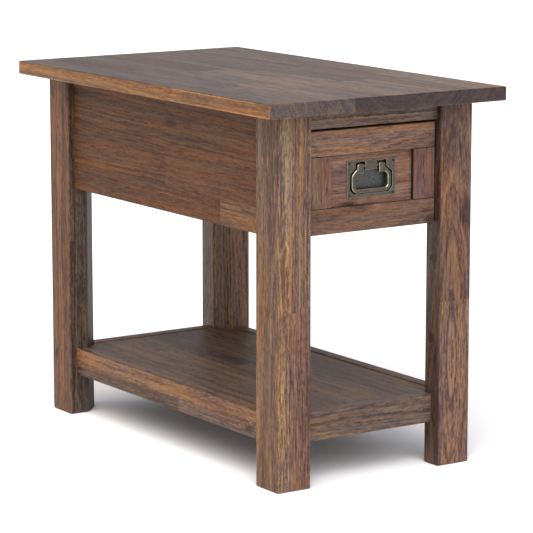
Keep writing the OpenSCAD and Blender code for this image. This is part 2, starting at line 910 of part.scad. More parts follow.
module pull_nails() {
    color("#2b2a2c") {
        nail_row();
        on_plate() for (sx = [-1, 1], sz = [-1, 1])
            translate([sx * (plate_w / 2 - nail_in_x), 0, sz * (plate_h / 2 - nail_in_z)]) to_front()
                cylinder(r1 = nail_r, r2 = nail_r * 0.6, h = 0.9);
    }
}

// Outline of the bail: its outer edge drawn in by e
function bail_outline(e) =
    let (bx = bail_w / 2 - e, bz = bail_drop - pivot_z - e, c = bail_cut - e * 0.6)
    [[-bx, shoulder_lo - e * 0.4], [-bx, c - bz], [c - bx, -bz],
     [bx - c, -bz], [bx, c - bz], [bx, shoulder_lo - e * 0.4],
     [ear_out, shoulder_hi - e * 1.2], [-ear_out, shoulder_hi - e * 1.2]];

module pull_bail() {
    color("#7d7458") on_plate() {
        along_y(-bail_proud, bail_t - bail_proud) difference() {
            polygon(bail_outline(0));
            polygon(bail_outline(bail_strip));
            translate([-ear_in, 0]) square([2 * ear_in, shoulder_hi + 1]);
        }
        for (sx = [-1, 1]) side(sx) {
            board(ear_in, ear_out, -bail_proud, pivot_in + ear_back,
                  shoulder_hi - bail_strip, pivot_z + ear_top);
            translate([tab_x - pin_bite, pivot_in, pivot_z]) to_x()
                cylinder(r = pin_r, h = ear_in - tab_x + pin_bite + 1);
        }
    }
}

tabletop();
leg_front_left();
leg_front_right();
leg_back_left();
leg_back_right();
apron_left();
apron_right();
apron_back();
front_top_rail();
corner_block_front_left();
corner_block_front_right();
corner_block_back_left();
corner_block_back_right();
shelf_rail_front();
shelf_rail_back();
shelf_rail_left();
shelf_rail_right();
shelf_panel();
shelf_cleat_left();
shelf_cleat_right();
shelf_block_front_left();
shelf_block_front_right();
shelf_block_back_left();
shelf_block_back_right();
rail_dowels();
hanger_bolts();
bolt_washers();
bolt_nuts();
tabletop_screws();
block_screws();
shelf_screws();
slide_batten_left();
slide_batten_right();
batten_screws();
slide_outer_left();
slide_outer_right();
slide_outer_screws();
slide_bumpers();
ball_cage_left();
ball_cage_right();
cage_balls_left();
cage_balls_right();
slide_inner_left();
slide_inner_right();
slide_inner_screws();
drawer_top_rail();
drawer_bottom_rail();
drawer_stile_left();
drawer_stile_right();
drawer_panel();
box_front();
box_back();
box_side_left();
box_side_right();
box_bottom();
front_screws();
pull_plate();
pull_nails();
pull_bail();
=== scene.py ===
import math
import random

import bmesh
import bpy
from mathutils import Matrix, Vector


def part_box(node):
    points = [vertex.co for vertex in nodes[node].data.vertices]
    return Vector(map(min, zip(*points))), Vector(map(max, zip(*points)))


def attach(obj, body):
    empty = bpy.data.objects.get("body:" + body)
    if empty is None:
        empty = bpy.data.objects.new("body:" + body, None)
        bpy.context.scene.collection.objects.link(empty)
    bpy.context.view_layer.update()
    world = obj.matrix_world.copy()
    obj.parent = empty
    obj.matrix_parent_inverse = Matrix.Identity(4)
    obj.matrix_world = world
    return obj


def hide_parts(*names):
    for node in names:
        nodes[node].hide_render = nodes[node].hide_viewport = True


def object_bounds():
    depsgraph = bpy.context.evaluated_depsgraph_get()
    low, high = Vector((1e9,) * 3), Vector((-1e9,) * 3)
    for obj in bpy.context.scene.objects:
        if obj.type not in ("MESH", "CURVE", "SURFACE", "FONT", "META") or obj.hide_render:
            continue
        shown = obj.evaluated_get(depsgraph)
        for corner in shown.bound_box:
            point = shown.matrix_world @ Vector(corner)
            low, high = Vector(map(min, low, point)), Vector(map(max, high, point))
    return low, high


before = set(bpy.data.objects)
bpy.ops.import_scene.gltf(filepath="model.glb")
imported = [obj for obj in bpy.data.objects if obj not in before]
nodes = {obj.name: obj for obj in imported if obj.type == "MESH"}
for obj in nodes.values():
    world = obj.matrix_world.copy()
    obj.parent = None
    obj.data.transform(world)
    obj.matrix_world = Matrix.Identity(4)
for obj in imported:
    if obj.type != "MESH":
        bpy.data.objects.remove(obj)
cadLow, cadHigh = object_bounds()
axisOf = {"X": 0, "Y": 1, "Z": 2}
mm = 0.001
bevelLook = {"largest": 3e-3, "square": 0.999, "nearSquare": 0.97}  # a bevel face: area in m2, limits of its normal
samePlace = 1e-5  # metres
facing = 0.9  # a face looks along an axis if its normal goes this far along it
mainly = 0.5

# stain colours, linear; the near-black laid on the drawer front's stile walls and eased edges is painted shade
stain = {
    "walnut": (0.108, 0.059, 0.041),
    "cocoa": (0.082, 0.044, 0.028),
    "umber": (0.061, 0.036, 0.026),
    "sienna": (0.127, 0.070, 0.050),
    "rust": (0.118, 0.057, 0.045),
    "rosy": (0.130, 0.066, 0.044),
    "fawn": (0.136, 0.080, 0.054),
    "amber": (0.137, 0.068, 0.035),
    "caramel": (0.172, 0.072, 0.012),
    "honey": (0.600, 0.235, 0.034),
    "ash": (0.094, 0.062, 0.049),
    "slate": (0.072, 0.050, 0.042),
    "plum": (0.057, 0.042, 0.043),
    "ink": (0.028, 0.017, 0.020),
    "soot": (0.019, 0.013, 0.011),
    "raw": (0.383, 0.261, 0.148),
    "birch": (0.470, 0.339, 0.200),
    "wheat": (0.169, 0.110, 0.070),
    "copper": (0.116, 0.048, 0.019),
    "chestnut": (0.085, 0.036, 0.015),
    "russet": (0.108, 0.051, 0.039),
    "tan": (0.124, 0.064, 0.034),
    "dust": (0.113, 0.078, 0.064),
    "hazel": (0.104, 0.055, 0.038),
    "toffee": (0.270, 0.108, 0.022),
}


def deselectAll():
    bpy.ops.object.select_all(action="DESELECT")


def takeUp(piece):
    deselectAll()
    piece.select_set(True)
    bpy.context.view_layer.objects.active = piece


def settle(piece):
    takeUp(piece)
    bpy.ops.object.transform_apply(location=True, rotation=True, scale=True)
    return piece


def camel(words):
    first, *rest = words.split("_")
    return first + "".join(word.capitalize() for word in rest)


def newBlock(name, low, high):
    low, high = Vector(low), Vector(high)
    deselectAll()
    bpy.ops.mesh.primitive_cube_add(size=1, location=(low + high) / 2, scale=high - low)
    piece = bpy.context.object
    piece.name = piece.data.name = name
    return settle(piece)


def pickEdges(test, sharp=0.0):
    bpy.ops.mesh.select_mode(type="EDGE")
    bpy.ops.mesh.select_all(action="DESELECT")
    shape = bmesh.from_edit_mesh(bpy.context.object.data)
    for edge in shape.edges:
        if test(edge.verts[0].co, edge.verts[1].co) and edge.calc_face_angle(1) > sharp:
            edge.select_set(True)
    bmesh.update_edit_mesh(bpy.context.object.data)


def pickFaces(test):
    bpy.ops.mesh.select_mode(type="FACE")
    bpy.ops.mesh.select_all(action="DESELECT")
    shape = bmesh.from_edit_mesh(bpy.context.object.data)
    for face in shape.faces:
        if test(face.calc_center_median(), face.normal):
            face.select_set(True)
    bmesh.update_edit_mesh(bpy.context.object.data)


def cutAt(axis, place, **more):
    spot, normal = [0, 0, 0], [0, 0, 0]
    spot[axis], normal[axis] = place, 1
    bpy.ops.mesh.bisect(plane_co=spot, plane_no=normal, **more)


def isBevel(face, limit):
    return max(abs(part) for part in face.normal) < limit and face.area < bevelLook["largest"]


def easeEdges(piece, width, segments=3):
    takeUp(piece)
    bpy.ops.object.mode_set(mode="EDIT")
    bpy.ops.mesh.select_all(action="SELECT")
    bpy.ops.mesh.bevel(offset=width, segments=segments, profile=0.5, affect="EDGES")
    bpy.ops.object.mode_set(mode="OBJECT")
    for face in piece.data.polygons:
        face.use_smooth = isBevel(face, bevelLook["square"])


# A board is cut where one stave meets the next, and each stave has its own stain and grain.
# staves: width in mm, joints along the grain in mm from the row's origin, stain of each length
def layStaves(piece, across, grain, staves, seed, spread=0.05, facePaint=None, shade=1.0, bold=()):
    draw = random.Random(seed)
    a, g = axisOf[across], axisOf[grain]
    corners = [Vector(v.co) for v in piece.data.vertices]
    lowA, highA = min(c[a] for c in corners), max(c[a] for c in corners)
    share = (highA - lowA) / sum(width for width, joints, tones in staves)
    edges = [lowA]
    for width, joints, tones in staves:
        edges.append(edges[-1] + width * share)
    takeUp(piece)
    bpy.ops.object.mode_set(mode="EDIT")
    for place in edges[1:-1]:
        bpy.ops.mesh.select_mode(type="FACE")
        bpy.ops.mesh.select_all(action="SELECT")
        cutAt(a, place)
    for i, (width, joints, tones) in enumerate(staves):
        for joint in joints:
            pickFaces(lambda c, n: edges[i] < c[a] < edges[i + 1])
            cutAt(g, joint * mm)
    bpy.ops.object.mode_set(mode="OBJECT")
    looks = []
    for width, joints, tones in staves:
        looks.append([])
        for tone in tones:
            lift = shade + draw.uniform(-spread, spread)
            warm = 1 + draw.uniform(-spread, spread) * 0.4
            red, green, blue = stain[tone]
            looks[-1].append(((red * lift * warm, green * lift, blue * lift / warm), draw.random()))
    mesh = piece.data
    toneMap = mesh.attributes.new("tone", "FLOAT_VECTOR", "CORNER")
    staveMap = mesh.attributes.new("stave", "FLOAT_VECTOR", "CORNER")
    for face in mesh.polygons:
        c, n = face.center, face.normal
        i = min(len(staves) - 1, max(0, sum(c[a] > e for e in edges[1:-1])))
        j = sum(c[g] > joint * mm for joint in staves[i][1])
        colour, number = looks[i][j]
        worn = float(isBevel(face, bevelLook["nearSquare"]))
        if facePaint:
            changed = facePaint(c, n)
            colour = [part * shade for part in stain[changed]] if changed else colour
        for corner in face.loop_indices:
            toneMap.data[corner].vector = colour
            staveMap.data[corner].vector = (number, worn, float(i in bold))
    return piece


def newGroup(name, inputs, outputs):
    group = bpy.data.node_groups.new(name, "ShaderNodeTree")
    kinds = {"v": "NodeSocketVector", "f": "NodeSocketFloat", "c": "NodeSocketColor"}
    for label, kind, value in inputs:
        socket = group.interface.new_socket(label, in_out="INPUT", socket_type=kinds[kind])
        socket.default_value = value
    for label, kind in outputs:
        group.interface.new_socket(label, in_out="OUTPUT", socket_type=kinds[kind])
    return group


class Wiring:  # short calls for placing nodes and joining them
    def __init__(self, tree):
        self.tree = tree

    def add(self, kind, **settings):
        node = self.tree.nodes.new(kind)
        for key, value in settings.items():
            setattr(node, key, value)
        return node

    def put(self, value, socket):
        if isinstance(value, bpy.types.NodeSocket):
            self.tree.links.new(value, socket)
        elif value is not None:
            socket.default_value = value

    def math(self, kind, a, b=None, c=None):
        node = self.add("ShaderNodeMath", operation=kind)
        for i, value in enumerate((a, b, c)):
            self.put(value, node.inputs[i])
        return node.outputs[0]

    def vector(self, kind, a, b=None):
        node = self.add("ShaderNodeVectorMath", operation=kind)
        self.put(a, node.inputs[0])
        self.put(b, node.inputs[1])
        return node.outputs["Value" if kind == "LENGTH" else "Vector"]

    def noise(self, place, scale, detail=2.0, rough=0.5, dims="3D"):
        node = self.add("ShaderNodeTexNoise", noise_dimensions=dims)
        self.put(place, node.inputs["W" if dims == "1D" else "Vector"])
        node.inputs["Scale"].default_value = scale
        node.inputs["Detail"].default_value = detail
        node.inputs["Roughness"].default_value = rough
        return node.outputs[0]

    def remap(self, value, low, high, toLow=0.0, toHigh=1.0, smooth=False):
        node = self.add("ShaderNodeMapRange", interpolation_type="SMOOTHSTEP" if smooth else "LINEAR")
        self.put(value, node.inputs[0])
        for i, number in enumerate((low, high, toLow, toHigh)):
            self.put(number, node.inputs[i + 1])
        return node.outputs[0]

    def blend(self, factor, a, b, kind="MIX"):
        node = self.add("ShaderNodeMix", data_type="RGBA", blend_type=kind)
        self.put(factor, node.inputs[0])
        self.put(a, node.inputs[6])
        self.put(b, node.inputs[7])
        return node.outputs[2]

    def stretch(self, place, size):
        return self.vector("MULTIPLY", place, size)

    def tint(self, colour, shade):
        return self.blend(1.0, colour, (*shade, 1), "MULTIPLY")

    def relief(self, height, strength, distance, shader):
        bump = self.add("ShaderNodeBump")
        bump.inputs["Strength"].default_value = strength
        bump.inputs["Distance"].default_value = distance
        self.put(height, bump.inputs["Height"])
        self.put(bump.outputs[0], shader.inputs["Normal"])


grainLook = {
    "noise": {  # stretch across, through and along the grain, detail, roughness
        "wander": ((7, 7, 1.7), 2.0, 0.5),
        "curl": ((30, 30, 6), 2.0, 0.5),
        "fibre": ((380, 380, 100), 3.0, 0.7),
        "line": ((330, 330, 24), 3.0, 0.7),
        "streak": ((150, 150, 6), 3.0, 0.65),
        "cloud": ((38, 38, 5), 2.0, 0.55),
        "warm": ((85, 85, 5), 2.0, 0.6),
        "cool": ((110, 110, 5), 2.0, 0.6),
        "gold": ((340, 340, 26), 3.0, 0.7),
        "pore": ((360, 360, 42), 3.0, 0.7),
        "ridge": ((120, 120, 7), 3.0, 0.6),
    },
    "ringJitter": (("wander", 0.030), ("curl", 0.006), ("fibre", 0.0030)),
    "knotPush": 0.010,
    "ringNoise": (300.0, 2.0, 0.6),
    "bandNoise": (95.0, 1.0, 0.5),
    "ringShare": 1.7,
    "figure": 0.7,
    "shares": (("fibre", 1.7), ("line", 1.5), ("cloud", 1.0), ("streak", 0.6)),
    "boldness": (0.2, 1.15),
    "staveShift": (3.7, 2.9, 8.3),
    "staveHeart": 2.0,
    "tint": {
        "dark": (0.43, 0.36, 0.49),
        "light": (1.60, 1.66, 1.34),
        "warm": (1.27, 1.07, 0.71),
        "cool": (0.80, 0.86, 1.04),
        "gold": (1.60, 1.58, 1.30),
        "mineral": (0.42, 0.38, 0.44),
        "pore": (0.38, 0.34, 0.38),
        "hair": (0.42, 0.36, 0.42),
        "knot": (0.30, 0.26, 0.30),
        "worn": (1.26, 1.20, 1.12),
    },
    "range": {  # from low, from high, to low, to high
        "warm": (0.42, 0.62, 0.0, 1.0),
        "cool": (0.48, 0.66, 0.0, 0.7),
        "gold": (0.57, 0.68, 0.0, 0.5),
        "mineral": (0.55, 0.68, 0.0, 1.0),
        "pore": (0.57, 0.65, 0.0, 1.0),
        "hair": (0.004, 0.022, 1.0, 0.0),
        "hairPlace": (0.40, 0.58, 0.0, 0.62),
        "knot": (0.20, 0.85, 0.0, 0.88),
    },
    "wornRange": (0.35, 0.65, 0.15, 0.55),
    "mineralShare": 0.60,
    "poreShare": 0.70,
    "roughness": (0.40, 0.16, 0.18),
    "height": (-1.0, 0.45),
}


def buildTimberGroup():
    group = newGroup(
        "timber",
        [("Place", "v", (0, 0, 0)), ("Tone", "c", (0.2, 0.1, 0.07, 1)), ("Stave", "f", 0.0), ("Worn", "f", 0.0),
         ("Knot", "f", 0.0), ("Contrast", "f", 1.0), ("Streaks", "f", 1.0), ("Pores", "f", 1.0),
         ("Heart", "v", (0, 0, 0)), ("Lean", "f", 0.0), ("Rings", "f", 1.0), ("Bold", "f", 0.0)],
        [("Color", "c"), ("Roughness", "f"), ("Height", "f")])
    w = Wiring(group)
    into = w.add("NodeGroupInput").outputs
    out = w.add("NodeGroupOutput").inputs
    shift = w.add("ShaderNodeCombineXYZ")
    for i, far in enumerate(grainLook["staveShift"]):
        w.put(w.math("MULTIPLY", into["Stave"], far), shift.inputs[i])
    place = w.vector("ADD", into["Place"], shift.outputs[0])
    noises = {}
    for name, (size, detail, rough) in grainLook["noise"].items():
        noises[name] = w.noise(w.stretch(place, size), 1.0, detail, rough)

    def inRange(value, name):
        return w.remap(value, *grainLook["range"][name], smooth=True)

    def tinted(colour, name):
        return w.tint(colour, grainLook["tint"][name])

    # the tree's rings: distance from a heart that wanders along the board
    local = w.add("ShaderNodeSeparateXYZ")
    w.put(w.vector("SUBTRACT", into["Place"], into["Heart"]), local.inputs[0])
    u = local.outputs[0]
    v = w.math("MULTIPLY_ADD", local.outputs[2], into["Lean"], local.outputs[1])
    radius = w.math("SQRT", w.math("ADD", w.math("MULTIPLY", u, u), w.math("MULTIPLY", v, v)))
    for name, push in grainLook["ringJitter"]:
        radius = w.math("MULTIPLY_ADD", noises[name], push, radius)
    radius = w.math("MULTIPLY_ADD", into["Knot"], grainLook["knotPush"], radius)
    radius = w.math("ADD", radius, w.math("MULTIPLY", into["Stave"], grainLook["staveHeart"]))
    rings = w.noise(radius, *grainLook["ringNoise"], "1D")
    bands = w.noise(radius, *grainLook["bandNoise"], "1D")

    # how light the wood is here: rings, fibres and long streaks along the grain
    level = w.math("MULTIPLY_ADD", w.math("SUBTRACT", rings, 0.5), grainLook["ringShare"],
                   w.math("SUBTRACT", bands, 0.5))
    level = w.math("MULTIPLY_ADD", level, w.math("MULTIPLY", into["Rings"], grainLook["figure"]), 0.5)
    for name, share in grainLook["shares"]:
        level = w.math("MULTIPLY_ADD", w.math("SUBTRACT", noises[name], 0.5), share, level)
    boldness = w.math("MULTIPLY_ADD", into["Bold"], *grainLook["boldness"])
    level = w.math("MULTIPLY_ADD", w.math("SUBTRACT", level, 0.5), w.math("MULTIPLY", into["Contrast"], boldness), 0.5)
    colour = w.blend(w.remap(level, 0.0, 0.5), tinted(into["Tone"], "dark"), into["Tone"])
    colour = w.blend(w.remap(level, 0.5, 1.0), colour, tinted(into["Tone"], "light"))

    # warm heartwood and grey stain drift from place to place
    for name in ("warm", "cool"):
        colour = w.blend(inRange(noises[name], name), colour, tinted(colour, name))

    # golden hairlines, dark mineral streaks, pores, dark hairlines and knots
    gold = w.math("MULTIPLY", inRange(noises["gold"], "gold"), into["Pores"])
    mineral = w.math("MULTIPLY", inRange(noises["streak"], "mineral"),
                     w.math("MULTIPLY", into["Streaks"], grainLook["mineralShare"]))
    pore = w.math("MULTIPLY", inRange(noises["pore"], "pore"),
                  w.math("MULTIPLY", into["Pores"], grainLook["poreShare"]))
    ridge = w.math("ABSOLUTE", w.math("SUBTRACT", noises["ridge"], 0.5))
    hair = w.math("MULTIPLY", inRange(ridge, "hair"), inRange(noises["cloud"], "hairPlace"))
    hair = w.math("MULTIPLY", hair, into["Contrast"])
    knot = inRange(into["Knot"], "knot")
    for mask, name in ((gold, "gold"), (mineral, "mineral"), (pore, "pore"), (hair, "hair"), (knot, "knot")):
        colour = w.blend(mask, colour, tinted(colour, name))

    # eased edges are rubbed a little lighter
    rubbed = w.math("MULTIPLY", into["Worn"], w.remap(noises["cloud"], *grainLook["wornRange"]))
    w.put(w.blend(rubbed, colour, tinted(colour, "worn")), out["Color"])

    base, fromFibre, fromPore = grainLook["roughness"]
    rough = w.math("MULTIPLY_ADD", noises["fibre"], fromFibre, base)
    w.put(w.math("MULTIPLY_ADD", pore, fromPore, rough), out["Roughness"])
    poreDepth, fibreHeight = grainLook["height"]
    w.put(w.math("MULTIPLY_ADD", pore, poreDepth, w.math("MULTIPLY", noises["fibre"], fibreHeight)), out["Height"])
    return group


knotLook = {"rag": (60, 60, 60), "ragged": 0.9}


def buildKnotGroup():
    group = newGroup(
        "knot",
        [("Place", "v", (0, 0, 0)), ("Centre", "v", (0, 0, 0)), ("Size", "v", (1, 1, 1)), ("Others", "f", 0.0)],
        [("Knot", "f")])
    w = Wiring(group)
    into = w.add("NodeGroupInput").outputs
    out = w.add("NodeGroupOutput").inputs
    apart = w.vector("DIVIDE", w.vector("SUBTRACT", into["Place"], into["Centre"]), into["Size"])
    rag = w.noise(w.stretch(into["Place"], knotLook["rag"]), 1.0, 2.0)
    ragged = w.math("MULTIPLY_ADD", rag, knotLook["ragged"], -knotLook["ragged"] / 2)
    far = w.math("ADD", w.vector("LENGTH", apart), ragged)
    hump = w.math("EXPONENT", w.math("MULTIPLY", w.math("MULTIPLY", far, far), -1.0))
    w.put(w.math("ADD", hump, into["Others"]), out["Knot"])
    return group


timberGroup = buildTimberGroup()
knotGroup = buildKnotGroup()
turnTo = {"X": (0, -math.pi / 2, 0), "Y": (math.pi / 2, 0, 0), "Z": (0, 0, 0)}


def newMaterial(name):
    material = bpy.data.materials.new(name)
    material.use_nodes = True
    tree = material.node_tree
    tree.nodes.clear()
    w = Wiring(tree)
    shader = w.add("ShaderNodeBsdfPrincipled")
    end = w.add("ShaderNodeOutputMaterial")
    tree.links.new(shader.outputs[0], end.inputs[0])
    return material, w, shader


timberLook = {"relief": 0.35, "depth": 0.3 * mm, "heart": (60, 80, 330), "lean": 0.015, "sheen": 0.28}


# grain runs along the axis given; tone is set where the piece has no staves of its own
def makeTimber(name, grain, tone=None, stave=0.0, contrast=1.0, streaks=1.0, pores=1.0, knots=(),
               gloss=0.0, sheen=timberLook["sheen"], heart=timberLook["heart"], lean=timberLook["lean"], rings=1.0):
    material, w, shader = newMaterial(name)
    place = w.add("ShaderNodeTexCoord").outputs["Object"]
    turned = w.add("ShaderNodeMapping")
    turned.inputs["Rotation"].default_value = turnTo[grain]
    w.put(place, turned.inputs[0])
    node = w.add("ShaderNodeGroup", node_tree=timberGroup)
    w.put(turned.outputs[0], node.inputs["Place"])
    if tone:
        node.inputs["Tone"].default_value = (*stain[tone], 1)
        node.inputs["Stave"].default_value = stave
    else:
        toneMap = w.add("ShaderNodeAttribute", attribute_name="tone")
        staveMap = w.add("ShaderNodeAttribute", attribute_name="stave")
        parts = w.add("ShaderNodeSeparateXYZ")
        w.put(staveMap.outputs["Vector"], parts.inputs[0])
        w.put(toneMap.outputs["Color"], node.inputs["Tone"])
        w.put(parts.outputs[0], node.inputs["Stave"])
        w.put(parts.outputs[1], node.inputs["Worn"])
        w.put(parts.outputs[2], node.inputs["Bold"])
    x, y, z = (c * mm for c in heart)
    node.inputs["Heart"].default_value = {"X": (-z, y, 0), "Y": (x, -z, 0), "Z": (x, y, 0)}[grain]
    settings = {"Contrast": contrast, "Streaks": streaks, "Pores": pores, "Lean": lean, "Rings": rings}
    for label, value in settings.items():
        node.inputs[label].default_value = value
    total = None
    for centre, size in knots:
        knot = w.add("ShaderNodeGroup", node_tree=knotGroup)
        w.put(place, knot.inputs["Place"])
        knot.inputs["Centre"].default_value = [c * mm for c in centre]
        knot.inputs["Size"].default_value = [s * mm for s in size]
        w.put(total, knot.inputs["Others"])
        total = knot.outputs[0]
    w.put(total, node.inputs["Knot"])
    w.put(node.outputs["Color"], shader.inputs["Base Color"])
    w.put(w.math("SUBTRACT", node.outputs["Roughness"], gloss), shader.inputs["Roughness"])
    shader.inputs["Specular IOR Level"].default_value = sheen
    w.relief(node.outputs["Height"], timberLook["relief"], timberLook["depth"], shader)
    return material


def dress(piece, material):
    piece.data.materials.clear()
    piece.data.materials.append(material)


def finishPiece(piece, body, node, slotName):
    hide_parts(node)
    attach(piece, body)


topLook = {
    "ease": 2.6 * mm,
    "seed": 11,
    "edgeJoint": -98,  # where the left edge goes from toffee to caramel
    "noseJoint": -45,  # where the front edge goes from plum to ink
    "leftStrip": 44,
    "bevelFrom": 0.05,
    "staves": [
        (44, (-98, 190), ("honey", "caramel", "caramel")),
        (52, (-150, 120), ("ash", "slate", "umber")),
        (47, (-120, 40), ("dust", "ash", "slate")),
        (55, (-210, 60), ("ash", "dust", "umber")),
        (50, (-60, 200), ("dust", "slate", "slate")),
        (58, (-170,), ("dust", "slate")),
        (50, (30,), ("ash", "slate")),
        (57, (-110, 150), ("dust", "ash", "slate")),
    ],
}


def paintTop(c, n):
    if n.y < -mainly:
        return "plum" if c.x < topLook["noseJoint"] * mm else "ink"
    if n.z > mainly and c.x < cadLow.x + topLook["leftStrip"] * mm:
        return "slate"
    if -bevelLook["nearSquare"] < n.x < -topLook["bevelFrom"]:
        return "toffee" if c.y < topLook["edgeJoint"] * mm else "caramel"
    return None


def makeTabletop():
    low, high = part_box("tabletop")
    piece = newBlock("tableTop", low, high)
    easeEdges(piece, topLook["ease"])
    layStaves(piece, "X", "Y", topLook["staves"], seed=topLook["seed"], facePaint=paintTop)
    dress(piece, makeTimber("topTimber", "Y", contrast=0.85, streaks=0.4, pores=0.8, gloss=0.04, sheen=0.36,
                            heart=(30, 0, 640)))
    finishPiece(piece, "table", "tabletop", "top_wood")


makeTabletop()
print("tabletop done")

legLook = {
    "ease": 2.8 * mm,
    "cut": 24 * mm,
    "leg_front_left": {
        "staves": [(19, (), ("wheat",)), (13, (258,), ("rosy", "fawn")), (25, (265,), ("rosy", "fawn"))],
        "shade": 1.0, "bold": (0,), "side": ("russet", "tan", 257), "front": None, "knots": [],
        "grain": dict(contrast=1.05, heart=(-250, -330, 0), lean=0.02),
    },
    # the front-right leg's inner side is painted umber: partly darker wood, partly painted shade from inside the frame
    "leg_front_right": {
        "staves": [(57, (246,), ("sienna", "hazel"))], "shade": 0.97,
        "bold": (), "side": ("umber", "umber", 300), "front": None,
        "knots": [((163, -322, 374), (15, 16, 27)), ((113, -306, 309), (8, 8, 9)), ((113, -306, 190), (8, 7, 10))],
        "grain": dict(contrast=1.15, heart=(137, -305, 0), lean=0.11, rings=1.3),
    },
    # the back-left leg's front face is painted slate: partly darker wood, partly painted shade, as it stands hidden
    # behind the front-left leg
    "leg_back_left": {
        "staves": [(30, (280,), ("walnut", "amber")), (27, (276,), ("amber", "walnut"))], "shade": 0.86,
        "bold": (), "side": ("copper", "copper", 280), "front": "slate", "knots": [((-170, 308, 94), (9, 6, 14))],
        "grain": dict(contrast=1.4, heart=(-220, 250, 0), lean=0.02),
    },
    # painted light: shade 1.6 lifts the back-right leg's stains, standing in for fill light it lacks deep in the frame
    "leg_back_right": {
        "staves": [(24, (), ("ash",)), (33, (), ("walnut",))], "shade": 1.6,
        "bold": (), "side": ("ash", "ash", 300), "front": None, "knots": [],
        "grain": dict(contrast=0.9, heart=(100, 340, 0), lean=-0.02),
    },
}


def makeLeg(node):
    look = legLook[node]
    low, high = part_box(node)
    piece = newBlock(camel(node), low, high)
    innerX = low.x if high.x > 0 else high.x
    innerY = low.y if high.y > 0 else high.y
    takeUp(piece)
    bpy.ops.object.mode_set(mode="EDIT")
    pickEdges(lambda a, b: all(abs(p.x - innerX) < samePlace and abs(p.y - innerY) < samePlace for p in (a, b)))
    bpy.ops.mesh.bevel(offset=legLook["cut"], segments=1, affect="EDGES")
    bpy.ops.object.mode_set(mode="OBJECT")
    easeEdges(piece, legLook["ease"])

    def paint(c, n):
        if n.x < -mainly:
            return look["side"][c.z > look["side"][2] * mm]
        return look["front"] if n.y < -mainly else None

    layStaves(piece, "X", "Z", look["staves"], seed=sum(map(ord, node)), facePaint=paint, shade=look["shade"],
              bold=look["bold"])
    dress(piece, makeTimber(piece.name + "Timber", "Z", knots=look["knots"], **look["grain"]))
    finishPiece(piece, "table", node, "leg_wood")


for legName in ("leg_front_left", "leg_front_right", "leg_back_left", "leg_back_right"):
    makeLeg(legName)
print("legs done")

apronBase = dict(across="Z", ease=1.5, slot="apron_wood", sheen=0.15, contrast=0.95, shade=0.80, knots=[])
shelfRailBase = dict(across="Z", ease=1.8, slot="shelf_wood", sheen=0.28, shade=0.95, knots=[])
railLook = {
    "apron_left": dict(
        apronBase, grain="Y", contrast=0.78, shade=0.95, heart=(-175, 0, 440), knots=[((-160, -20, 496), (8, 24, 6))],
        staves=[(37, (-158,), ("tan", "chestnut")), (66, (-8,), ("chestnut", "chestnut")),
                (73, (42,), ("chestnut", "chestnut"))]),
    "apron_right": dict(
        apronBase, grain="Y", heart=(190, 0, 420),
        staves=[(58, (90,), ("walnut", "sienna")), (60, (-60,), ("walnut", "cocoa")),
                (58, (120,), ("rust", "walnut"))]),
    "apron_back": dict(
        apronBase, grain="X", heart=(0, 340, 460),
        staves=[(62, (), ("walnut",)), (55, (20,), ("cocoa", "walnut")), (59, (), ("rust",))]),
    # painted light: shade 1.12 lifts the front top rail, offsetting the shadow the tabletop's overhang casts on it
    "front_top_rail": dict(
        apronBase, grain="X", ease=0.8, sheen=0.28, contrast=0.9, shade=1.12, heart=(0, -340, 560),
        staves=[(25, (), ("dust",))]),
    "shelf_rail_left": dict(
        shelfRailBase, grain="Y", contrast=1.1, heart=(-200, 0, 60), knots=[((-160, -233, 75), (8, 14, 9))],
        staves=[(19, (-40,), ("walnut", "cocoa")), (24, (), ("amber",))]),
    "shelf_rail_right": dict(
        shelfRailBase, grain="Y", contrast=1.0, heart=(200, 0, 120), staves=[(43, (), ("walnut",))]),
    "shelf_rail_front": dict(
        shelfRailBase, grain="X", contrast=0.9, shade=1.0, heart=(0, -340, 40), staves=[(43, (), ("ash",))]),
    "shelf_rail_back": dict(
        shelfRailBase, grain="X", contrast=0.8, heart=(0, 340, 40), staves=[(43, (), ("walnut",))]),
}


def paintShelfRail(c, n):
    return "ash" if n.z > mainly else None


def makeRail(node):
    look = railLook[node]
    low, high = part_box(node)
    piece = newBlock(camel(node), low, high)
    easeEdges(piece, look["ease"] * mm)
    paint = paintShelfRail if node.startswith("shelf") else None
    layStaves(piece, look["across"], look["grain"], look["staves"], seed=sum(map(ord, node)), facePaint=paint,
              shade=look["shade"])
    dress(piece, makeTimber(piece.name + "Timber", look["grain"], contrast=look["contrast"], knots=look["knots"],
                            heart=look["heart"], sheen=look["sheen"]))
    finishPiece(piece, "table", node, look["slot"])


for railName in railLook:
    makeRail(railName)

shelfLook = {
    "ease": 1.0 * mm,
    "seed": 5,
    "shade": 0.92,
    "legGap": 1.4 * mm,
    "staves": [
        (38, (-60,), ("ash", "slate")), (46, (80,), ("ash", "ash")), (40, (-120,), ("slate", "ash")),
        (44, (20,), ("ash", "slate")), (36, (-30,), ("ash", "slate")), (42, (130,), ("slate", "ash")),
        (33, (), ("ash",)),
    ],
}


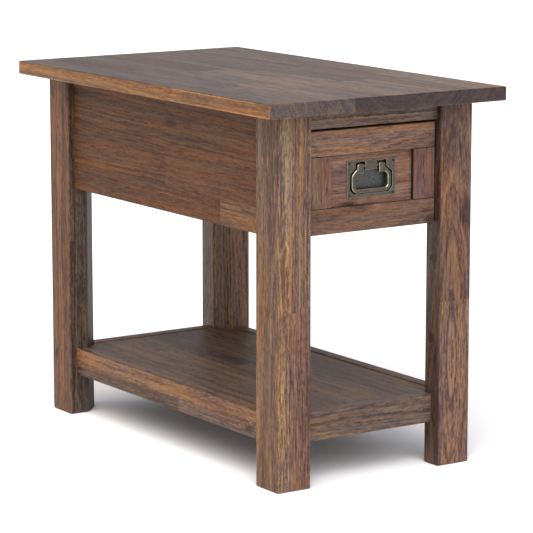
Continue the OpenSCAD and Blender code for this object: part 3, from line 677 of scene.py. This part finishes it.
def makeShelf():
    low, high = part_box("shelf_panel")
    piece = newBlock("shelfBoard", low, high)
    takeUp(piece)
    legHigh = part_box("leg_front_left")[1]
    corner = (legHigh.x - low.x) + (legHigh.y - low.y) - legLook["cut"] + shelfLook["legGap"]
    bpy.ops.object.mode_set(mode="EDIT")
    pickEdges(lambda a, b: abs(a.x - b.x) < samePlace and abs(a.y - b.y) < samePlace)
    bpy.ops.mesh.bevel(offset=corner, segments=1, affect="EDGES")
    bpy.ops.object.mode_set(mode="OBJECT")
    easeEdges(piece, shelfLook["ease"], 2)
    layStaves(piece, "X", "Y", shelfLook["staves"], seed=shelfLook["seed"], shade=shelfLook["shade"])
    dress(piece, makeTimber("shelfTimber", "Y", contrast=0.7, streaks=1.0, gloss=0.04, sheen=0.14, heart=(0, 0, 180)))
    finishPiece(piece, "table", "shelf_panel", "shelf_wood")


makeShelf()
print("frame and shelf done")

frontLook = {
    "drawer_top_rail": dict(grain="X", across="Z", staves=[(37, (), ("sienna",))], shade=1.05, contrast=0.85,
                            knots=[]),
    "drawer_bottom_rail": dict(grain="X", across="Z", staves=[(37, (), ("walnut",))], shade=0.84, contrast=0.8,
                               knots=[((103, -311, 369), (12, 20, 9)), ((-29, -311, 400), (20, 20, 6))]),
    "drawer_stile_left": dict(grain="Z", across="X", staves=[(20, (), ("walnut",)), (18.5, (), ("rust",))], shade=0.95,
                              contrast=0.8, knots=[]),
    "drawer_stile_right": dict(grain="Z", across="X", staves=[(38.5, (), ("rust",))], shade=1.0, contrast=0.7,
                               knots=[]),
    "ease": 0.7 * mm,
}


def makeFrontPart(node):
    look = frontLook[node]
    low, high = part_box(node)
    if "stile" in node:
        low.z, high.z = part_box("drawer_bottom_rail")[1].z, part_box("drawer_top_rail")[0].z
    piece = newBlock(camel(node), low, high)
    easeEdges(piece, frontLook["ease"], 2)
    inner = -1 if "right" in node else 1

    def paint(c, n):
        # painted shade: the eased edges, which form the grooves between rails and stiles, are painted near-black
        if max(abs(part) for part in n) < bevelLook["nearSquare"]:
            return "ink"
        # painted shade: the stiles' inner walls, down in the sunk panel's recess, are painted near-black
        return "soot" if "stile" in node and n.x * inner > facing else None

    layStaves(piece, look["across"], look["grain"], look["staves"], seed=sum(map(ord, node)), facePaint=paint,
              shade=look["shade"])
    dress(piece, makeTimber(piece.name + "Timber", look["grain"], contrast=look["contrast"], knots=look["knots"]))
    finishPiece(piece, "drawer", node, "front_wood")


for partName in ("drawer_top_rail", "drawer_bottom_rail", "drawer_stile_left", "drawer_stile_right"):
    makeFrontPart(partName)
dress(nodes["drawer_panel"], makeTimber("panelTimber", "X", tone="sienna", stave=0.62, contrast=0.75,
                                        knots=[((-40, -306, 402), (16, 20, 6))]))
print("drawer front done")

# hidden and inner woodwork keeps its CAD shape
plainBase = dict(contrast=0.4, streaks=0.15, pores=0.35)
plainLook = {
    "sawn": dict(nodes=[n for n in nodes if "block_" in n and n != "block_screws" or "cleat" in n], grain="Z",
                 tone="raw"),
    "batten": dict(nodes=["slide_batten_left", "slide_batten_right"], grain="Y", tone="raw"),
    "boxSide": dict(nodes=["box_side_left", "box_side_right"], grain="Y", tone="birch"),
    "boxEnd": dict(nodes=["box_front", "box_back"], grain="X", tone="birch"),
    "boxFloor": dict(nodes=["box_bottom"], grain="Y", tone="birch"),
    "dowel": dict(nodes=["rail_dowels"], grain="Y", tone="birch"),
}
for label, look in plainLook.items():
    material = makeTimber(label + "Timber", look["grain"], tone=look["tone"], stave=0.2 + 0.1 * len(label),
                          **plainBase)
    for name in look["nodes"]:
        dress(nodes[name], material)


metalBase = {"patches": 90.0, "patchRange": (0.35, 0.7), "marks": 0.22, "relief": 0.2, "depth": 0.05 * mm}


def makeMetal(name, colour, rough, grain, tint, metallic=1.0):
    material, w, shader = newMaterial(name)
    place = w.add("ShaderNodeTexCoord").outputs["Object"]
    mark = w.noise(w.stretch(place, grain), 1.0, 3.0, 0.6)
    patch = w.remap(w.noise(place, metalBase["patches"]), *metalBase["patchRange"])
    darker = [part * share for part, share in zip(colour, tint)]
    w.put(w.blend(patch, (*colour, 1), (*darker, 1)), shader.inputs["Base Color"])
    shader.inputs["Metallic"].default_value = metallic
    w.put(w.math("MULTIPLY_ADD", mark, metalBase["marks"], rough), shader.inputs["Roughness"])
    w.relief(mark, metalBase["relief"], metalBase["depth"], shader)
    return material


metalLook = {
    "slideSteel": (["slide_outer_left", "slide_outer_right", "slide_inner_left", "slide_inner_right",
                    "ball_cage_left", "ball_cage_right"], (0.60, 0.62, 0.64), 0.22, (900, 12, 900)),
    "zincSteel": (["hanger_bolts", "bolt_washers", "bolt_nuts", "slide_outer_screws", "slide_inner_screws"],
                  (0.62, 0.63, 0.66), 0.28, (600, 600, 600)),
    "yellowZinc": (["tabletop_screws", "block_screws", "shelf_screws", "batten_screws", "front_screws"],
                   (0.70, 0.55, 0.26), 0.25, (600, 600, 600)),
    "ballSteel": (["cage_balls_left", "cage_balls_right"], (0.78, 0.79, 0.80), 0.05, (900, 900, 900)),
}
for label, (names, colour, rough, grain) in metalLook.items():
    material = makeMetal(label, colour, rough, grain, (0.85, 0.85, 0.85))
    for name in names:
        dress(nodes[name], material)
rubber = makeMetal("rubber", (0.035, 0.035, 0.035), 0.6, (300, 300, 300), (0.8, 0.8, 0.8), metallic=0.0)
dress(nodes["slide_bumpers"], rubber)


# flush drop pull: plate with a sunk cup, swinging bail, four nails; mm from the middle of the plate
pullLook = {
    "cup": dict(half=37.45, neck=27.1, top=24.9, bottom=-21.4, shoulder=15.4, slope=0.754, cut=52.35, deep=7.5,
                wall=1.2, lift=1.3),
    "tab": dict(half=10.4, bottom=12.2, gap=0.1),
    "plate": dict(thick=1.6, rim=0.45),
    "bail": dict(half=34.25, bottom=-20.4, top=13.4, strip=5.5, thick=4.5, cut=6.5, shoulder=5.6, earOut=24.4,
                 earIn=13.6, earTop=21.3, earBack=1.1, chamfer=1.0, round=2.5, roundBelow=10,
                 roundSharp=0.3, earRounds=(3.0, 1.6)),
    "pin": dict(radius=1.5, back=3.8, up=17.8, inEar=1.0, sides=20),
    "nail": dict(across=38.1, up=23.15, radius=2.0, proud=0.9, shank=0.8, length=9.0, smooth=40),
    "near": 0.1,  # mm within which a point counts as on a line or a face
    "sharp": 0.5,  # radians past which an edge counts as an edge to ease
    "flat": 1,  # degrees up to which two faces count as one
    "bevelFrom": 0.1,
    "patina": (0.088, 0.083, 0.074),
    "cupPatina": (0.075, 0.077, 0.083),
    "worn": (0.34, 0.29, 0.205),
}
plateLow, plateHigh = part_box("pull_plate")
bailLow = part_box("pull_bail")[0]
pullAt = Vector(((plateLow.x + plateHigh.x) / 2, plateLow.y, (plateLow.z + plateHigh.z) / 2))
near = pullLook["near"]


def inCup(x, z, grow=0.0):
    cup = pullLook["cup"]
    x = abs(x)
    if x > cup["half"] + grow or z > cup["top"] + grow or z < cup["bottom"] - grow:
        return False
    if x - z > cup["cut"] + grow * math.sqrt(2):
        return False
    return x < cup["neck"] + grow or z < cup["shoulder"] + grow * cup["lift"] - (x - cup["neck"]) * cup["slope"]


def cutOutline(faceTest, grow, withTab):
    cup, tab = pullLook["cup"], pullLook["tab"]
    lines = [((0, cup["top"] + grow), (0, 1)), ((0, cup["bottom"] - grow), (0, 1))]
    if withTab:
        lines.append(((0, tab["bottom"]), (0, 1)))
    for s in (-1, 1):
        lines += [((s * (cup["half"] + grow), 0), (1, 0)), ((s * (cup["neck"] + grow), 0), (1, 0)),
                  ((s * cup["neck"], cup["shoulder"] + grow * cup["lift"]), (s * cup["slope"], 1)),
                  ((s * (cup["cut"] + grow * math.sqrt(2)), 0), (s, -1))]
        if withTab:
            lines.append(((s * tab["half"], 0), (1, 0)))
    for (x, z), (nx, nz) in lines:
        pickFaces(faceTest)
        bpy.ops.mesh.bisect(plane_co=(pullAt.x + x * mm, pullAt.y, pullAt.z + z * mm), plane_no=(nx, 0, nz))


def paintMetal(piece, paint):
    toneMap = piece.data.attributes.new("tone", "FLOAT_VECTOR", "CORNER")
    for face in piece.data.polygons:
        for corner in face.loop_indices:
            toneMap.data[corner].vector = paint(face.center, face.normal)


def makePlate():
    plate, cup, tab = pullLook["plate"], pullLook["cup"], pullLook["tab"]
    front, back = plateLow.y, plateLow.y + plate["thick"] * mm
    piece = newBlock("pullPlate", plateLow, (plateHigh.x, back, plateHigh.z))
    takeUp(piece)
    bpy.ops.object.mode_set(mode="EDIT")

    def local(c):
        return (c.x - pullAt.x) / mm, (c.z - pullAt.z) / mm

    def isFront(c, n):
        return n.y < -facing and c.y < front + near * mm

    def isBack(c, n):
        return n.y > facing and abs(c.y - back) < near * mm

    cutOutline(isFront, 0, True)
    pickFaces(lambda c, n: isFront(c, n) and inCup(*local(c))
              and not (abs(local(c)[0]) < tab["half"] and local(c)[1] > tab["bottom"]))
    bpy.ops.mesh.extrude_region_move(TRANSFORM_OT_translate={"value": (0, cup["deep"] * mm, 0)})
    cutOutline(isBack, cup["wall"], False)
    pickFaces(lambda c, n: isBack(c, n) and inCup(*local(c), cup["wall"]))
    bpy.ops.mesh.extrude_region_move(
        TRANSFORM_OT_translate={"value": (0, (cup["deep"] + cup["wall"] - plate["thick"]) * mm, 0)})
    pickEdges(lambda a, b: max(a.y, b.y) < front + near * mm, sharp=pullLook["sharp"])
    bpy.ops.mesh.bevel(offset=plate["rim"] * mm, segments=2, affect="EDGES")
    bpy.ops.mesh.select_all(action="SELECT")
    bpy.ops.mesh.normals_make_consistent(inside=False)
    bpy.ops.object.mode_set(mode="OBJECT")

    def paint(c, n):
        if n.y < -facing and c.y > front + cup["deep"] / 2 * mm:
            return pullLook["cupPatina"]
        if abs(n.y) > pullLook["bevelFrom"] and n.y > -bevelLook["nearSquare"] and c.y < front + mm:
            return pullLook["worn"]
        return pullLook["patina"]

    paintMetal(piece, paint)
    return piece


def makeBail():
    bail, pin = pullLook["bail"], pullLook["pin"]
    front = bailLow.y
    centre = Vector((pullAt.x, 0, pullAt.z))
    piece = newBlock("pullBail", centre + Vector((-bail["half"] * mm, front, bail["bottom"] * mm)),
                     centre + Vector((bail["half"] * mm, front + bail["thick"] * mm, bail["top"] * mm)))
    takeUp(piece)
    bpy.ops.object.mode_set(mode="EDIT")
    for s in (-1, 1):
        corner = Vector((pullAt.x + s * bail["half"] * mm, 0, pullAt.z + (bail["bottom"] + bail["cut"]) * mm))
        shoulder = Vector((pullAt.x + s * bail["half"] * mm, 0, pullAt.z + bail["shoulder"] * mm))
        slope = (s * (bail["top"] - bail["shoulder"]), 0, bail["half"] - bail["earOut"])
        for spot, normal in ((corner, (s, 0, -1)), (shoulder, slope)):
            bpy.ops.mesh.select_all(action="SELECT")
            bpy.ops.mesh.bisect(plane_co=spot, plane_no=normal, use_fill=True, clear_outer=True)
    pickEdges(lambda a, b: abs(a.y - b.y) > mm and min(a.z, b.z) < pullAt.z + bail["roundBelow"] * mm,
              sharp=bail["roundSharp"])
    bpy.ops.mesh.bevel(offset=bail["round"] * mm, segments=2, affect="EDGES")
    pickFaces(lambda c, n: abs(n.y) > facing)
    bpy.ops.mesh.inset(thickness=bail["strip"] * mm, use_even_offset=True)
    bpy.ops.mesh.bridge_edge_loops()
    for place in (-bail["earOut"], -bail["earIn"], bail["earIn"], bail["earOut"]):
        bpy.ops.mesh.select_mode(type="FACE")
        bpy.ops.mesh.select_all(action="SELECT")
        cutAt(0, pullAt.x + place * mm)

    def across(c):
        return abs(c.x - pullAt.x) / mm

    def up(c):
        return (c.z - pullAt.z) / mm

    pickFaces(lambda c, n: across(c) < bail["earIn"] and up(c) > 0)
    bpy.ops.mesh.delete(type="FACE")
    bpy.ops.mesh.select_mode(type="EDGE")
    bpy.ops.mesh.select_non_manifold(extend=False)
    bpy.ops.mesh.fill_holes(sides=0)
    pickFaces(lambda c, n: n.z > facing and bail["earIn"] < across(c) < bail["earOut"] and up(c) > bail["top"] - near)
    bpy.ops.mesh.extrude_region_move(TRANSFORM_OT_translate={"value": (0, 0, (bail["earTop"] - bail["top"]) * mm)})
    pickFaces(lambda c, n: n.y > facing and bail["earIn"] < across(c) < bail["earOut"] and up(c) > 0)
    bpy.ops.mesh.extrude_region_move(TRANSFORM_OT_translate={"value": (0, bail["earBack"] * mm, 0)})
    bpy.ops.mesh.select_all(action="SELECT")
    bpy.ops.mesh.normals_make_consistent(inside=False)
    bpy.ops.mesh.dissolve_limited(angle_limit=math.radians(pullLook["flat"]))
    for side, width in zip((bail["earOut"], bail["earIn"]), bail["earRounds"]):
        pickEdges(lambda a, b: min(up(a), up(b)) > bail["earTop"] - near and abs(across(a) - side) < near
                  and abs(across(b) - side) < near)
        bpy.ops.mesh.bevel(offset=width * mm, segments=3, affect="EDGES")
    pickEdges(lambda a, b: max(a.y, b.y) < front + near * mm, sharp=pullLook["sharp"])
    bpy.ops.mesh.bevel(offset=bail["chamfer"] * mm, segments=1, affect="EDGES")
    bpy.ops.object.mode_set(mode="OBJECT")
    parts = [piece]
    for s in (-1, 1):
        inner, outer = pullLook["tab"]["half"] + pullLook["tab"]["gap"], bail["earIn"] + pin["inEar"]
        deselectAll()
        bpy.ops.mesh.primitive_cylinder_add(
            vertices=pin["sides"], radius=pin["radius"] * mm, depth=(outer - inner) * mm, rotation=(0, math.pi / 2, 0),
            location=(pullAt.x + s * (inner + outer) / 2 * mm, front + pin["back"] * mm, pullAt.z + pin["up"] * mm))
        parts.append(settle(bpy.context.object))
    takeUp(piece)
    for part in parts:
        part.select_set(True)
    bpy.ops.object.join()

    def paint(c, n):
        return pullLook["worn"] if -bevelLook["nearSquare"] < n.y < -pullLook["bevelFrom"] else pullLook["patina"]

    paintMetal(piece, paint)
    return piece


def makeNails():
    nail = pullLook["nail"]
    x, z = pullAt.x - nail["across"] * mm, pullAt.z - nail["up"] * mm
    deselectAll()
    bpy.ops.mesh.primitive_uv_sphere_add(
        segments=20, ring_count=12, radius=nail["radius"] * mm, location=(x, pullAt.y, z),
        rotation=(math.pi / 2, 0, 0), scale=(1, 1, nail["proud"] / nail["radius"]))
    head = settle(bpy.context.object)
    takeUp(head)
    bpy.ops.object.mode_set(mode="EDIT")
    bpy.ops.mesh.select_all(action="SELECT")
    cutAt(1, pullAt.y, use_fill=True, clear_outer=True)
    bpy.ops.object.mode_set(mode="OBJECT")
    bpy.ops.object.shade_smooth_by_angle(angle=math.radians(nail["smooth"]))
    deselectAll()
    bpy.ops.mesh.primitive_cylinder_add(
        vertices=12, radius=nail["shank"] * mm, depth=nail["length"] * mm,
        location=(x, pullAt.y + nail["length"] / 2 * mm, z), rotation=(math.pi / 2, 0, 0))
    shank = settle(bpy.context.object)
    takeUp(head)
    shank.select_set(True)
    bpy.ops.object.join()
    parts = [head]
    for right, high in ((0, 1), (1, 0), (1, 1)):  # the other three corners
        takeUp(head)
        bpy.ops.object.duplicate()
        copy = bpy.context.object
        copy.location = (2 * right * nail["across"] * mm, 0, 2 * high * nail["up"] * mm)
        parts.append(settle(copy))
    takeUp(head)
    for part in parts:
        part.select_set(True)
    bpy.ops.object.join()
    head.name = "pullNails"
    return head


bronzeLook = {
    "patch": (260.0, 3.0, 0.6), "mark": (900.0, 2.0, 0.6), "patchRange": (0.35, 0.65), "metallic": 0.85,
    "dull": (0.70, 0.72, 0.78), "bright": (1.25, 1.18, 1.02), "marks": 0.25, "rough": 0.30,
    "relief": 0.25, "depth": 0.08 * mm,
}


def makeBronze():
    material, w, shader = newMaterial("bronze")
    place = w.add("ShaderNodeTexCoord").outputs["Object"]
    tone = w.add("ShaderNodeAttribute", attribute_name="tone").outputs["Color"]
    patch = w.remap(w.noise(place, *bronzeLook["patch"]), *bronzeLook["patchRange"])
    mark = w.noise(place, *bronzeLook["mark"])
    w.put(w.blend(patch, w.tint(tone, bronzeLook["dull"]), w.tint(tone, bronzeLook["bright"])),
          shader.inputs["Base Color"])
    shader.inputs["Metallic"].default_value = bronzeLook["metallic"]
    w.put(w.math("MULTIPLY_ADD", mark, bronzeLook["marks"], bronzeLook["rough"]), shader.inputs["Roughness"])
    w.relief(mark, bronzeLook["relief"], bronzeLook["depth"], shader)
    return material


bronze = makeBronze()
nailSteel = makeMetal("nailSteel", (0.05, 0.05, 0.055), 0.35, (500, 500, 500), (0.8, 0.8, 0.8))
for piece, body, node, slotName, material in (
        (makePlate(), "drawer", "pull_plate", "bronze", bronze), (makeBail(), "bail", "pull_bail", "bronze", bronze),
        (makeNails(), "drawer", "pull_nails", "nail_steel", nailSteel)):
    dress(piece, material)
    finishPiece(piece, body, node, slotName)
print("metals done")

stageLook = {
    "floor": (0.94, 0.94, 0.94), "floorSize": 90, "floorRough": 0.9, "floorSheen": 0.1,
    "sky": (0.97, 0.98, 1.05), "skyPower": 0.58, "lampAt": 3,
}
deselectAll()
bpy.ops.mesh.primitive_plane_add(size=stageLook["floorSize"], location=(0, 0, 0))
floor = bpy.context.object
floor.name = "floor"
floorPaint, w, shader = newMaterial("floorPaint")
shader.inputs["Base Color"].default_value = (*stageLook["floor"], 1)
shader.inputs["Roughness"].default_value = stageLook["floorRough"]
shader.inputs["Specular IOR Level"].default_value = stageLook["floorSheen"]
dress(floor, floorPaint)

world = bpy.data.worlds.new("studio")
world.use_nodes = True
world.node_tree.nodes["Background"].inputs[0].default_value = (*stageLook["sky"], 1)
world.node_tree.nodes["Background"].inputs[1].default_value = stageLook["skyPower"]
bpy.context.scene.world = world

sunLook = {
    "leftSun": dict(toward=(-0.57, -0.30, 1.0), power=1.9, width=56, colour=(1.08, 1.0, 0.89)),
    "frontSun": dict(toward=(-0.45, -1.0, 0.85), power=2.35, width=50, colour=(0.98, 0.99, 1.04)),
}
for name, look in sunLook.items():
    deselectAll()
    bpy.ops.object.light_add(type="SUN", location=Vector(look["toward"]) * stageLook["lampAt"])
    lamp = bpy.context.object
    lamp.name = name
    lamp.data.energy = look["power"]
    lamp.data.color = look["colour"]
    lamp.data.angle = math.radians(look["width"])
    lamp.rotation_euler = Vector(look["toward"]).to_track_quat("Z", "Y").to_euler()

cameraLook = {
    "spot": (-2.2287, -3.3653, 0.9921), "turn": -33.826, "down": 10.247, "lens": 180.94, "sensor": 36, "far": 200,
}
deselectAll()
bpy.ops.object.camera_add(location=cameraLook["spot"])
camera = bpy.context.object
camera.rotation_euler = (math.radians(90 - cameraLook["down"]), 0, math.radians(cameraLook["turn"]))
camera.data.lens = cameraLook["lens"]
camera.data.sensor_width = cameraLook["sensor"]
camera.data.clip_end = cameraLook["far"]
bpy.context.scene.camera = camera
bpy.context.scene.view_settings.view_transform = "Standard"
print("stage done")
